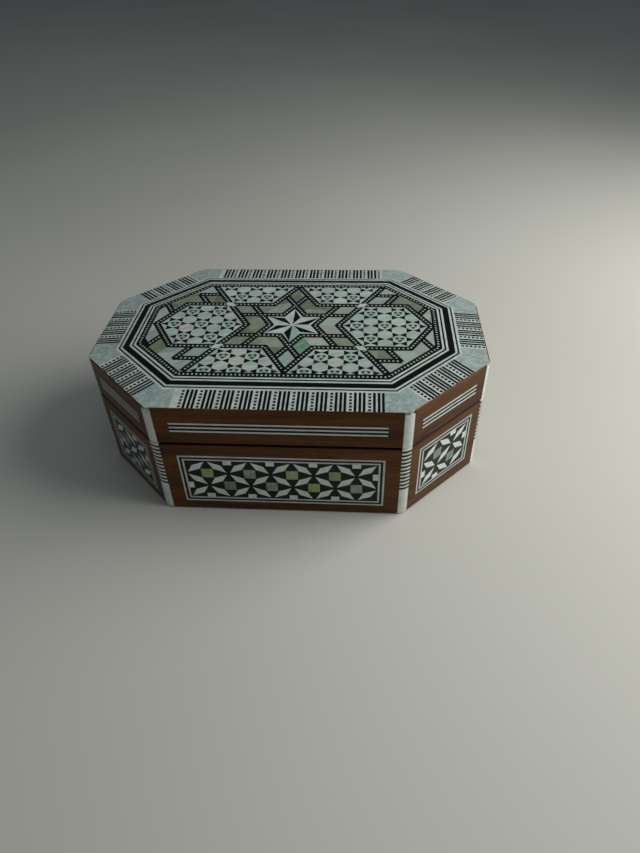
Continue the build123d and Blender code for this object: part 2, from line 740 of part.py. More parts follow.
def main():
    os.makedirs("parts", exist_ok=True)
    make_base()
    make_panels()
    make_corner_strips()
    make_lid()
    make_hinges()
    make_border()
    make_frame()
    make_field()


main()
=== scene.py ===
from math import ceil, cos, pi, radians, sin, sqrt, tan

import bmesh
import bpy
from mathutils import Matrix, Vector, noise


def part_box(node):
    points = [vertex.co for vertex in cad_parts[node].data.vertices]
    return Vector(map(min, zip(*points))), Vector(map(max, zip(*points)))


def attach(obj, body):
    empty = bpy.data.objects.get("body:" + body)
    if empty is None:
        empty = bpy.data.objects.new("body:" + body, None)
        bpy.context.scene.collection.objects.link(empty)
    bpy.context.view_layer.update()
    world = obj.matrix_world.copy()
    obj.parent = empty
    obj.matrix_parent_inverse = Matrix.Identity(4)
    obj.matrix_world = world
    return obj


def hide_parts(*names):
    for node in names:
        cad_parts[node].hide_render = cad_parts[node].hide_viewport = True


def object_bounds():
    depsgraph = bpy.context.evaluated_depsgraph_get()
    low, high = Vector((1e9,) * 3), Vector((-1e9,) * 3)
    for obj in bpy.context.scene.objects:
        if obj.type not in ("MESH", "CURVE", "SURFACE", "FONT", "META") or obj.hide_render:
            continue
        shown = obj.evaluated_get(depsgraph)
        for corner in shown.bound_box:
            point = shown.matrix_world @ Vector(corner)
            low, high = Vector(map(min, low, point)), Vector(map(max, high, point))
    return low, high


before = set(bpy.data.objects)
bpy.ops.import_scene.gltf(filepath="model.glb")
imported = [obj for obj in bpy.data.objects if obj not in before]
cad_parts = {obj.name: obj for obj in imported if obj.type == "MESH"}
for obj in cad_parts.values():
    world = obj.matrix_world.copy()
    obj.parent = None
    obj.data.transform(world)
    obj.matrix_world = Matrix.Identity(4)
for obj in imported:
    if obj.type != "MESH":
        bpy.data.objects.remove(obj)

MM = 0.001
CAD_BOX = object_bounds()

# ------------------------------------------------------------------ dimensions of the lid's pattern
CORNER_CUT = 33.9 * MM      # reach of each 45 degree side
DOME_RISE = 1.6 * MM        # the flat field above the lid's edge
PARTING = 38.1 * MM         # height of the line between base and lid
LIP = 0.5 * MM              # wood outside the border
KEY_BORDER = 11.2 * MM      # width of the striped border
PLATE_REACH = 9.8 * MM      # corner plates along each side
FIELD_INSET = 22.1 * MM     # outer edge to the flat field
DOTTED_BAND = 2.95 * MM
STAR_R = 35.7 * MM          # centre to tip of the large star
STAR_CENTRE = Vector((0.8, 0.9)) * MM   # the star's middle on the lid
STAR_S = STAR_R / sqrt(3)
FILET = 3.2 * MM            # width of the filets
INNER_LINE = 8.6 * MM       # centre to the inner star's filets
TILE_DEPTH = 0.3 * MM       # how deep a tessera's mesh reaches
PROUD = 0.03 * MM           # how far the tesserae stand above their ground

FIELD_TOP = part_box("lid_mosaic_hexagons")[1].z
EDGE_TOP = FIELD_TOP - DOME_RISE
HALF_LENGTH = CAD_BOX[1].x
HALF_WIDTH = CAD_BOX[1].y


# ------------------------------------------------------------------ plan geometry
def octagon(inset):
    """Corners of the box's outline moved inwards, anticlockwise from the right end."""
    a = HALF_LENGTH - inset
    b = HALF_WIDTH - inset
    c = CORNER_CUT - inset * (2 - sqrt(2))
    right = [Vector((a, c - b)), Vector((a, b - c)), Vector((a - c, b)), Vector((c - a, b))]
    return right + [-point for point in right]


class Side:
    """One side of the box: u runs along it from its middle, v inwards from its outer edge."""

    def __init__(self, number, inset=0.0):
        corners = octagon(inset)
        start, end = corners[number], corners[(number + 1) % 8]
        self.length = (end - start).length
        self.along = (end - start).normalized()
        self.inward = Vector((-self.along.y, self.along.x))
        self.middle = (start + end) / 2

    def point(self, u, v):
        return self.middle + self.along * u + self.inward * v

    def rectangle(self, u, v, width, height):
        """Outline of a rectangle centred at u, v."""
        du, dv = width / 2, height / 2
        return [self.point(u + a, v + b) for a, b in ((-du, -dv), (du, -dv), (du, dv), (-du, dv))]


SIDES = [Side(number) for number in range(8)]


def inset_of(point):
    """Distance from the box's outline to a point inside it."""
    return min((point - side.middle).dot(side.inward) for side in SIDES)


def lid_height(point):
    """Height of the lid's surface over a plan point."""
    return EDGE_TOP + DOME_RISE * min(inset_of(point) / FIELD_INSET, 1.0)


def clipped(outline, boundary):
    """The part of a convex outline inside a convex anticlockwise boundary."""
    for start, end in zip(boundary, boundary[1:] + boundary[:1]):
        if not outline:
            return []
        normal = Vector((start.y - end.y, end.x - start.x))
        kept = []
        for here, there in zip(outline, outline[1:] + outline[:1]):
            d_here, d_there = (here - start).dot(normal), (there - start).dot(normal)
            if d_here >= 0:
                kept.append(here)
            if d_here * d_there < 0:
                kept.append(here + (there - here) * (d_here / (d_here - d_there)))
        outline = kept
    return outline


def area_of(outline):
    return 0.5 * sum(a.x * b.y - a.y * b.x for a, b in zip(outline, outline[1:] + outline[:1]))


def polygon_at(centre, radius, sides, turn):
    """Regular polygon; turn is the direction of its first corner in degrees."""
    angles = [radians(turn) + 2 * pi * k / sides for k in range(sides)]
    return [centre + Vector((radius * cos(a), radius * sin(a))) for a in angles]


# ------------------------------------------------------------------ tesserae
SMALLEST_TESSERA = 0.05 * MM * MM   # area under which a clipped tessera is left out
SHORTEST_EDGE = 0.02 * MM           # corners nearer than this are merged
TONE_CELLS = (7.5, 3.5)             # the row of noise cells that the tones are drawn from


class Tesserae:
    """Thin closed prisms let into the lid, gathered into one piece per material."""

    def __init__(self, name, slot, proud=PROUD):
        self.name = name
        self.slot = slot
        self.proud = proud
        self.mesh = bmesh.new()
        self.tone = self.mesh.verts.layers.float.new("tone")
        self.count = 0

    def add(self, outline):
        """Lay one tessera, unless clipping left next to nothing of it."""
        edges = zip(outline, outline[1:] + outline[:1])
        outline = [p for p, q in edges if (p - q).length > SHORTEST_EDGE]
        if len(outline) < 3 or area_of(outline) < SMALLEST_TESSERA:
            return
        self.count += 1
        tone = noise.cell(Vector((self.count + 0.5, *TONE_CELLS)))
        top, bottom = [], []
        for point in outline:
            z = lid_height(point)
            top.append(self.mesh.verts.new((point.x, point.y, z + self.proud)))
            bottom.append(self.mesh.verts.new((point.x, point.y, z - TILE_DEPTH)))
        for vert in top + bottom:
            vert[self.tone] = tone
        self.mesh.faces.new(top)
        self.mesh.faces.new(list(reversed(bottom)))
        for k in range(len(top)):
            after = (k + 1) % len(top)
            self.mesh.faces.new((bottom[k], bottom[after], top[after], top[k]))

    def finish(self, material):
        data = bpy.data.meshes.new(self.name)
        self.mesh.to_mesh(data)
        self.mesh.free()
        piece = bpy.data.objects.new(self.name, data)
        bpy.context.scene.collection.objects.link(piece)
        data.materials.append(material)
        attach(piece, "lid")
        return piece


# Striped border: groups of a column of dots and three black lines
BACK, FRONT = 2, 6                  # numbers of the two long sides
LINE_WIDTH = 1.05 * MM
KEY_DOT = 1.1 * MM
DOTS_PER_COLUMN = 6
LONG_GROUPS = 11
SHORT_GROUPS = 4
LONG_MARGIN = 2.2 * MM              # plain bone at the left end of a long side, seen from the front
GROUP_COLUMN = 0.205                # places in a group, as shares of its length
GROUP_LINES = (0.449, 0.693, 0.914)


def border_tesserae(black):
    """Black lines and dots of the striped border on all eight sides."""
    depth = KEY_BORDER - LIP
    for number, side in enumerate(SIDES):
        is_long = number in (BACK, FRONT)
        groups = LONG_GROUPS if is_long else SHORT_GROUPS
        margin = LONG_MARGIN if is_long else 0.0
        half = side.length / 2 - PLATE_REACH
        period = (2 * half - margin) / groups
        for group in range(groups):
            start = -half + (margin if number == FRONT else 0.0) + group * period
            for share in GROUP_LINES:
                black.add(side.rectangle(start + share * period, LIP + depth / 2, LINE_WIDTH, depth))
            for dot in range(DOTS_PER_COLUMN):
                v = LIP + depth * (dot + 0.5) / DOTS_PER_COLUMN
                black.add(side.rectangle(start + GROUP_COLUMN * period, v, KEY_DOT, KEY_DOT))


# Dotted band round the field
BAND_DOT = (0.7 * MM, 0.88 * MM)
BAND_PITCH = 1.79 * MM


def band_tesserae(white):
    """White dots along the middle of the dotted band."""
    middle = FIELD_INSET - DOTTED_BAND / 2
    for number, side in enumerate(SIDES):
        reach = Side(number, middle).length
        count = round(reach / BAND_PITCH)
        for dot in range(count):
            u = reach * ((dot + 0.5) / count - 0.5)
            white.add(side.rectangle(u, middle, *BAND_DOT))


# Dotted filets of the stars
FILET_DOT = 0.8 * MM
FILET_PITCH = 1.85 * MM
FIELD = octagon(FIELD_INSET)
HUBS = [STAR_CENTRE + Vector((sx * 1.5 * STAR_S, sy * STAR_R / 2)) for sx in (1, -1) for sy in (1, -1)]
HUB_CLEAR = 2.6 * MM
DOT_CLEAR = 1.45 * MM               # dots of two filets come no nearer than this
EDGE_CLEAR = 0.7 * MM               # nor nearer than this to the field's edge


def outer_segments():
    """Centre lines of the large star's filets, the side hexagons and the slanted ends."""
    s, r = STAR_S, STAR_R
    chains = [[(0, r), (0.5 * s, r / 2), (1.5 * s, r / 2), (2.5 * s, r / 2), (3 * s, 0)],
              [(s, 0), (1.5 * s, r / 2), (2 * s, r)]]
    segments = []
    for sx in (1, -1):
        for sy in (1, -1):
            for chain in chains:
                points = [STAR_CENTRE + Vector((sx * x, sy * y)) for x, y in chain]
                segments += list(zip(points, points[1:]))
    return segments


def inner_segments(centre, near):
    """The filets of an inner star; those that pass over their neighbours come first."""
    far = (STAR_R + INNER_LINE) / (2 * cos(radians(30)))
    segments = []
    for number in range(6):
        angle = radians(30 + 60 * number)
        normal = Vector((cos(angle), sin(angle)))
        along = Vector((-normal.y, normal.x))
        foot = centre + normal * INNER_LINE
        for way in (1, -1):
            segments.append((way, foot + along * way * near, foot + along * way * far))
    return [(start, end) for _, start, end in sorted(segments, key=lambda entry: -entry[0])]


def dots_along(segments, placed, white):
    """Square dots along filets, kept off the hubs, the field's edge and the dots already laid."""
    for start, end in segments:
        length = (end - start).length
        along = (end - start) / length
        across = Vector((-along.y, along.x))
        count = max(1, round(length / FILET_PITCH))
        for number in range(count):
            centre = start + along * length * (number + 0.5) / count
            if inset_of(centre) < FIELD_INSET + EDGE_CLEAR:
                continue
            if any((centre - hub).length < HUB_CLEAR for hub in HUBS):
                continue
            if any((centre - other).length < DOT_CLEAR for other in placed):
                continue
            placed.append(centre)
            half = FILET_DOT / 2
            corners = [(-half, -half), (half, -half), (half, half), (-half, half)]
            white.add([centre + along * a + across * b for a, b in corners])


def filet_tesserae(white):
    placed = []
    dots_along(outer_segments(), placed, white)
    dots_along(inner_segments(STAR_CENTRE, INNER_LINE * tan(radians(30))), placed, white)
    for sx in (1, -1):
        for sy in (1, -1):
            centre = STAR_CENTRE + Vector((sx * 3 * STAR_S, sy * STAR_R))
            dots_along(inner_segments(centre, INNER_LINE * tan(radians(60))), placed, white)


# Mosaic of rosettes in the hexagons and trapezoids
ROSETTE_PITCH = 12.4 * MM
ROSETTE_HEART = 3.05 * MM
HEART_MIDDLE = 2.15 * MM            # the darker middle of a rosette's heart
HEART_SEED = 1.1 * MM               # small triangles in a rosette's heart
HEART_SEED_AT = 1.35 * MM
RAY_BASE = 2.95 * MM                # black triangles round a rosette
RAY_TIP = 6.0 * MM
RAY_HALF = 1.7 * MM
JOINT = 0.08 * MM                   # glue line round the white pieces
PAST_FIELD = 0.12                   # share of the star by which trapezoids run on under the frame
BLOOMS_APART = 3.0 * MM             # blooms nearer than this are one and the same
BROWN_EVERY = 5
TRAPEZOID_ROW = 25.1 * MM           # height of a trapezoid's row of whole rosettes


def rosette_region(vertices):
    """A mosaic's outline from the filets' centre lines, moved in by half a filet."""
    inner = []
    previous, following = vertices[-1:] + vertices[:-1], vertices[1:] + vertices[:1]
    for before, here, after in zip(previous, vertices, following):
        d0, d1 = (here - before).normalized(), (after - here).normalized()
        n0, n1 = Vector((-d0.y, d0.x)), Vector((-d1.y, d1.x))
        inner.append(here + (n0 + n1) / (1 + n0.dot(n1)) * FILET / 2)
    return inner


def lay_rosettes(centres, region, layers):
    """Rosettes, and the white pieces between them, clipped to a mosaic's outline."""
    blooms = []
    for centre in centres:
        layers["heart"].add(clipped(polygon_at(centre, ROSETTE_HEART, 6, 0), region))
        layers["middle"].add(clipped(polygon_at(centre, HEART_MIDDLE, 6, 0), region))
        for k in range(3):
            towards = radians(30 + 120 * k)
            seed = centre + Vector((cos(towards), sin(towards))) * HEART_SEED_AT
            layers["seed"].add(clipped(polygon_at(seed, HEART_SEED, 3, -90), region))
        for k in range(6):
            out = Vector((cos(k * pi / 3), sin(k * pi / 3)))
            side = Vector((-out.y, out.x))
            ray = [centre + out * RAY_BASE - side * RAY_HALF, centre + out * RAY_TIP,
                   centre + out * RAY_BASE + side * RAY_HALF]
            kind = "brown" if len(blooms) % BROWN_EVERY == BROWN_EVERY - 1 else "black"
            layers[kind].add(clipped(ray, region))
            towards = radians(30 + 60 * k)
            bloom = centre + Vector((cos(towards), sin(towards))) * ROSETTE_PITCH / sqrt(3)
            if all((bloom - other).length > BLOOMS_APART for other in blooms):
                cell = polygon_at(bloom, ROSETTE_PITCH / sqrt(3) - 2 * JOINT, 3, 210 + 60 * k)
                layers["bloom"].add(clipped(cell, region))
            blooms.append(bloom)


def mosaic_tesserae(layers):
    s, r, past = STAR_S, STAR_R, PAST_FIELD
    for sx in (1, -1):
        middle = STAR_CENTRE + Vector((sx * 2 * s, 0))
        corners = [STAR_CENTRE + Vector((sx * x, y)) for x, y in
                   ((s, 0), (1.5 * s, -r / 2), (2.5 * s, -r / 2),
                    (3 * s, 0), (2.5 * s, r / 2), (1.5 * s, r / 2))]
        if sx < 0:
            corners.reverse()
        centres = [middle] + polygon_at(middle, ROSETTE_PITCH, 6, 0)
        lay_rosettes(centres, rosette_region(corners), layers)
    for sx in (1, -1):
        for sy in (1, -1):
            corners = [STAR_CENTRE + Vector((sx * x, sy * y)) for x, y in
                       ((-past * s, (1 + past) * r), (0.5 * s, r / 2), (1.5 * s, r / 2),
                        ((2 + past) * s, (1 + past) * r))]
            if sx * sy < 0:
                corners.reverse()
            region = clipped(rosette_region(corners), FIELD)
            middle = STAR_CENTRE + Vector((sx * s, sy * TRAPEZOID_ROW))
            row = [middle + Vector((shift * ROSETTE_PITCH, 0)) for shift in (-0.5, 0.5)]
            outer = [middle + Vector((shift * ROSETTE_PITCH, sy * ROSETTE_PITCH * sin(radians(60))))
                     for shift in (-1, 0, 1)]
            lay_rosettes(row + outer, region, layers)


# ------------------------------------------------------------------ materials
def srgb(red, green, blue):
    """Linear colour of an sRGB one given as 0 to 255."""
    parts = [value / 255 for value in (red, green, blue)]
    return tuple(p / 12.92 if p <= 0.04045 else ((p + 0.055) / 1.055) ** 2.4 for p in parts) + (1.0,)


class Shader:
    """A material under construction: one Principled shader fed by procedural textures."""

    def __init__(self, name, **constants):
        self.material = bpy.data.materials.new(name)
        self.material.use_nodes = True
        self.tree = self.material.node_tree
        self.principled = self.tree.nodes["Principled BSDF"]
        for socket, value in constants.items():
            self.principled.inputs[socket.replace("_", " ")].default_value = value
        self.place = self.node("ShaderNodeTexCoord").outputs["Object"]

    def node(self, kind, **settings):
        made = self.tree.nodes.new(kind)
        for key, value in settings.items():
            setattr(made, key, value)
        return made

    def feed(self, socket, value):
        if isinstance(value, bpy.types.NodeSocket):
            self.tree.links.new(value, socket)
        else:
            socket.default_value = value

    def stretched(self, size, turn=0.0, shift=(0.0, 0.0, 0.0)):
        """Coordinates in units of size, with X along a direction in plan."""
        mapping = self.node("ShaderNodeMapping", vector_type="TEXTURE")
        mapping.inputs["Rotation"].default_value = (0.0, 0.0, radians(turn))
        mapping.inputs["Scale"].default_value = size
        mapping.inputs["Location"].default_value = shift
        self.feed(mapping.inputs["Vector"], self.place)
        return mapping.outputs["Vector"]

    def noise(self, size, turn=0.0, detail=3.0, distortion=0.0, shift=(0.0, 0.0, 0.0)):
        texture = self.node("ShaderNodeTexNoise")
        texture.inputs["Scale"].default_value = 1.0
        texture.inputs["Detail"].default_value = detail
        texture.inputs["Distortion"].default_value = distortion
        self.feed(texture.inputs["Vector"], self.stretched(size, turn, shift))
        return texture.outputs["Fac"]

    def cells(self, size, turn=0.0):
        """A random value for each cell of a Voronoi pattern."""
        texture = self.node("ShaderNodeTexVoronoi")
        texture.inputs["Scale"].default_value = 1.0
        self.feed(texture.inputs["Vector"], self.stretched(size, turn))
        parts = self.node("ShaderNodeSeparateColor")
        self.feed(parts.inputs["Color"], texture.outputs["Color"])
        return parts.outputs["Red"]

    def tone(self):
        """The tone that each tessera carries."""
        return self.node("ShaderNodeAttribute", attribute_name="tone").outputs["Fac"]

    def within(self, direction, reach):
        """1 where the rest position reaches less than a distance along a plan direction."""
        along = self.node("ShaderNodeVectorMath", operation="DOT_PRODUCT")
        self.feed(along.inputs[0], self.place)
        self.feed(along.inputs[1], (cos(radians(direction)), sin(radians(direction)), 0.0))
        return self.math("LESS_THAN", along.outputs["Value"], reach)

    def painted_gap_shade_mask(self):
        """1 on the outer edges of the two rims, above and below the parting line: where the gap's shade
        is painted.
        """
        axes = self.node("ShaderNodeSeparateXYZ")
        self.feed(axes.inputs["Vector"], self.place)
        x = self.math("ABSOLUTE", axes.outputs["X"])
        y = self.math("ABSOLUTE", axes.outputs["Y"])
        height = self.math("ABSOLUTE", self.math("SUBTRACT", axes.outputs["Z"], PARTING))
        past_end = self.math("SUBTRACT", x, HALF_LENGTH)
        past_long_side = self.math("SUBTRACT", y, HALF_WIDTH)
        along_cut = self.math("SUBTRACT", self.math("ADD", x, y), HALF_LENGTH + HALF_WIDTH - CORNER_CUT)
        past_cut = self.math("DIVIDE", along_cut, sqrt(2))
        outside = self.math("MAXIMUM", self.math("MAXIMUM", past_end, past_long_side), past_cut)
        at_edge = self.math("GREATER_THAN", outside, -PAINTED_SHADE_DEPTH)
        return self.math("MULTIPLY", at_edge, self.math("LESS_THAN", height, PAINTED_SHADE_HEIGHT))

    def math(self, operation, *values):
        made = self.node("ShaderNodeMath", operation=operation)
        for socket, value in zip(made.inputs, values):
            self.feed(socket, value)
        return made.outputs["Value"]

    def between(self, value, low, high):
        """A value from 0 to 1 stretched to run from low to high."""
        return self.math("MULTIPLY_ADD", value, high - low, low)

    def ramp(self, factor, *stops):
        """Colours at places from 0 to 1."""
        made = self.node("ShaderNodeValToRGB")
        ramp = made.color_ramp
        while len(ramp.elements) < len(stops):
            ramp.elements.new(0.5)
        for element, (position, colour) in zip(ramp.elements, stops):
            element.position = position
            element.color = colour
        self.feed(made.inputs["Fac"], factor)
        return made.outputs["Color"]

    def mix(self, factor, first, second, blend="MIX"):
        made = self.node("ShaderNodeMix", data_type="RGBA", blend_type=blend)
        self.feed(made.inputs[0], factor)
        self.feed(made.inputs[6], first)
        self.feed(made.inputs[7], second)
        return made.outputs[2]

    def shaded(self, share, colour, factor, *stops):
        """A colour multiplied, by a share, with a ramp over a pattern."""
        return self.mix(share, colour, self.ramp(factor, *stops), "MULTIPLY")

    def finish(self, colour, roughness, height=None, depth=0.01 * MM, strength=0.5):
        self.feed(self.principled.inputs["Base Color"], colour)
        self.feed(self.principled.inputs["Roughness"], roughness)
        if height is not None:
            bump = self.node("ShaderNodeBump")
            bump.inputs["Strength"].default_value = strength
            bump.inputs["Distance"].default_value = depth
            self.feed(bump.inputs["Height"], height)
            self.feed(self.principled.inputs["Normal"], bump.outputs["Normal"])
        return self.material


WHITE = (1.0, 1.0, 1.0, 1.0)
PAINTED_SHADE_HEIGHT = 0.75 * MM            # painted shade of the gap between the rims: from the parting line up and down
PAINTED_SHADE_DEPTH = 1.2 * MM              # from the outer face inwards
# how strongly the painted shade of the gap darkens the wood
PAINTED_SHADE_STRENGTH = 0.9


def lacquered_wood(turn):
    """Reddish brown wood under lacquer, its grain running along a direction in plan, with painted shade
    of the parting gap darkening the rims' outer edges.
    """
    shader = Shader(f"lacquered_wood_{turn}", Coat_Weight=0.04, Coat_Roughness=0.24,
                    Specular_IOR_Level=0.14)
    broad = shader.noise((70 * MM, 6 * MM, 6 * MM), turn, 4.0, 0.8)
    fibres = shader.noise((14 * MM, 0.5 * MM, 0.5 * MM), turn, 4.0, 0.3)
    pores = shader.noise((3.0 * MM, 0.16 * MM, 0.16 * MM), turn, 1.0)
    colour = shader.ramp(broad, (0.30, srgb(72, 40, 7)), (0.5, srgb(97, 58, 11)),
                         (0.72, srgb(122, 75, 17)))
    colour = shader.shaded(0.6, colour, fibres, (0.3, srgb(150, 130, 110)), (0.65, WHITE))
    colour = shader.shaded(0.7, colour, pores, (0.30, srgb(110, 90, 80)), (0.40, WHITE))
    # Painted shade: the rims' outer edges go nearly black beside the parting line, standing in for the
    # gap's shadow
    painted_gap_shade = shader.math("MULTIPLY", shader.painted_gap_shade_mask(), PAINTED_SHADE_STRENGTH)
    colour = shader.mix(painted_gap_shade, colour, srgb(10, 6, 4))
    return shader.finish(colour, shader.between(fibres, 0.26, 0.42), fibres, 0.02 * MM, 0.35)


def inner_wood():
    """Plain sawn beech, seen only round the felt."""
    shader = Shader("inner_wood", Specular_IOR_Level=0.3)
    broad = shader.noise((60 * MM, 5 * MM, 5 * MM), 0.0, 4.0, 0.6)
    flecks = shader.noise((2.2 * MM, 0.3 * MM, 0.3 * MM), 0.0, 2.0)
    colour = shader.ramp(broad, (0.3, srgb(160, 120, 82)), (0.7, srgb(196, 158, 116)))
    colour = shader.shaded(0.6, colour, flecks, (0.33, srgb(150, 120, 95)), (0.48, WHITE))
    return shader.finish(colour, shader.between(flecks, 0.5, 0.7), flecks, 0.03 * MM, 0.5)


def ebony(name, turn=0.0, dark=srgb(4, 9, 8), light=srgb(10, 19, 17)):
    """Black wood, polished flush under lacquer."""
    shader = Shader(name, Coat_Weight=0.06, Coat_Roughness=0.18, Specular_IOR_Level=0.2)
    broad = shader.noise((20 * MM, 2.5 * MM, 2.5 * MM), turn, 3.0)
    fibres = shader.noise((5 * MM, 0.25 * MM, 0.25 * MM), turn, 3.0)
    colour = shader.ramp(broad, (0.3, dark), (0.75, light))
    colour = shader.shaded(0.5, colour, fibres, (0.35, srgb(140, 140, 140)), (0.6, WHITE))
    return shader.finish(colour, shader.between(fibres, 0.24, 0.4), fibres, 0.008 * MM, 0.4)


def bone(name, turn=0.0, tones=None, dark=srgb(178, 194, 187), light=srgb(206, 219, 213)):
    """Polished bone: pale, with fine streaks and, in tesserae, a tone for each piece."""
    shader = Shader(name, Coat_Weight=0.14, Coat_Roughness=0.17)
    broad = shader.noise((9 * MM, 3 * MM, 3 * MM), turn, 3.0)
    streaks = shader.noise((4 * MM, 0.3 * MM, 0.3 * MM), turn, 3.0)
    colour = shader.ramp(broad, (0.3, dark), (0.7, light))
    if tones:
        piece = shader.ramp(shader.tone(), *tones)
        colour = shader.mix(0.85, colour, piece, "MULTIPLY")
    colour = shader.shaded(0.5, colour, streaks, (0.3, srgb(205, 200, 186)), (0.55, WHITE))
    return shader.finish(colour, shader.between(broad, 0.22, 0.38), streaks, 0.006 * MM, 0.4)


PALER_SHARE = 0.7                   # how much of its colour a shell's paler part takes from the tint


def shell(name, dark, middle, light, turn=35.0, cell=9.0, paler=None):
    """Mother-of-pearl: straight-edged fragments whose tones drift along growth lines.

    paler is a plan direction, a reach along it and the tint of the part within that reach.
    """
    shader = Shader(name, Coat_Weight=0.32, Coat_Roughness=0.12, Specular_IOR_Level=0.5)
    fragment = shader.cells((cell * MM, cell * MM, cell * MM), turn)
    cloud = shader.noise((7 * MM, 2.2 * MM, 4 * MM), turn, 3.0, 1.2)
    growth = shader.noise((9 * MM, 0.35 * MM, 0.35 * MM), turn, 2.0, 0.5)
    blend = shader.math("ADD", shader.between(fragment, 0.0, 0.5), shader.between(cloud, 0.0, 0.5))
    colour = shader.ramp(blend, (0.25, dark), (0.5, middle), (0.75, light))
    colour = shader.shaded(0.55, colour, cloud,
                           (0.35, srgb(255, 240, 240)), (0.5, WHITE), (0.62, srgb(234, 255, 244)))
    colour = shader.shaded(0.35, colour, growth, (0.35, srgb(180, 185, 180)), (0.6, WHITE))
    if paler:
        direction, reach, tint = paler
        share = shader.math("MULTIPLY", shader.within(direction, reach), PALER_SHARE)
        colour = shader.mix(share, colour, tint)
    return shader.finish(colour, shader.between(cloud, 0.14, 0.3), growth, 0.01 * MM, 0.35)


def abalone_shell():
    """Green shell, paler in the pinwheel's ray than in the tile beyond the filet."""
    return shell("abalone_shell", srgb(98, 138, 116), srgb(128, 168, 146), srgb(176, 206, 186),
                 cell=4.0, paler=(-30.0, INNER_LINE, srgb(160, 186, 180)))


def velvet():
    """Short red pile: deep in colour, brushed here and there."""
    shader = Shader("lining_velvet", Sheen_Weight=0.7, Sheen_Roughness=0.35,
                    Sheen_Tint=srgb(230, 90, 90), Specular_IOR_Level=0.15)
    brushed = shader.noise((14 * MM, 9 * MM, 9 * MM), 20.0, 3.0, 0.8)
    pile = shader.noise((0.35 * MM, 0.35 * MM, 0.35 * MM), 0.0, 2.0)
    colour = shader.ramp(brushed, (0.3, srgb(84, 8, 18)), (0.55, srgb(112, 12, 24)),
                         (0.8, srgb(140, 24, 34)))
    colour = shader.shaded(0.7, colour, pile, (0.3, srgb(120, 120, 120)), (0.7, WHITE))
    return shader.finish(colour, shader.between(brushed, 0.8, 0.95), pile, 0.15 * MM, 0.8)


def felt():
    """Thin dark brown felt with tangled fibres."""
    shader = Shader("base_felt_cloth", Sheen_Weight=0.25, Sheen_Roughness=0.6, Specular_IOR_Level=0.1)
    clumps = shader.noise((2.5 * MM, 2.5 * MM, 2.5 * MM), 0.0, 5.0, 1.5)
    fibres = shader.noise((1.6 * MM, 0.12 * MM, 0.3 * MM), 40.0, 3.0, 2.5)
    colour = shader.ramp(clumps, (0.3, srgb(48, 36, 30)), (0.7, srgb(78, 60, 50)))
    colour = shader.shaded(0.6, colour, fibres, (0.35, srgb(130, 125, 120)), (0.65, WHITE))
    return shader.finish(colour, shader.between(clumps, 0.85, 1.0), fibres, 0.12 * MM, 0.8)


def metal(name, bright, dull, roughness, turn=0.0):
    """Worn metal with fine scratches and tarnish."""
    shader = Shader(name, Metallic=1.0)
    tarnish = shader.noise((2.5 * MM, 2.5 * MM, 2.5 * MM), 0.0, 5.0, 0.5)
    scratches = shader.noise((4 * MM, 0.06 * MM, 0.06 * MM), turn, 2.0)
    colour = shader.ramp(tarnish, (0.35, dull), (0.65, bright))
    worn = shader.between(tarnish, roughness, roughness - 0.1)
    rough = shader.math("ADD", worn, shader.between(scratches, 0, 0.12))
    return shader.finish(colour, rough, scratches, 0.005 * MM, 0.4)


def floor_surface():
    shader = Shader("pale_floor", Specular_IOR_Level=0.25)
    cloud = shader.noise((400 * MM, 400 * MM, 400 * MM), 0.0, 2.0)
    grain = shader.noise((1.2 * MM, 1.2 * MM, 1.2 * MM), 0.0, 3.0)
    colour = shader.ramp(cloud, (0.3, srgb(196, 195, 186)), (0.7, srgb(206, 205, 197)))
    return shader.finish(colour, shader.between(cloud, 0.7, 0.8), grain, 0.03 * MM, 0.3)


# Tones of the tesserae, from which each takes its own
BLOOM_TONES = [(0.0, srgb(226, 230, 230)), (0.3, srgb(250, 240, 240)), (0.55, srgb(234, 248, 240)),
               (0.8, srgb(220, 228, 230)), (1.0, srgb(246, 246, 240))]
HEART_TONES = [(0.0, srgb(232, 244, 240)), (1.0, srgb(250, 254, 252))]
MIDDLE_TONES = [(0.0, srgb(176, 206, 194)), (1.0, srgb(204, 228, 218))]
DOT_TONES = [(0.0, srgb(214, 220, 214)), (1.0, srgb(250, 252, 248))]

# Nodes of the whitest bone
BRIGHT_BONE = ("corner_strips", "corner_bands_bone", "panel_bone_leaves", "panel_bone_edge")
# Grain direction of each side's boards, in degrees
GRAIN = {"right": 90, "left": 90, "front": 0, "back": 0,
         "back_right": 135, "front_left": 135, "back_left": 45, "front_right": 45}


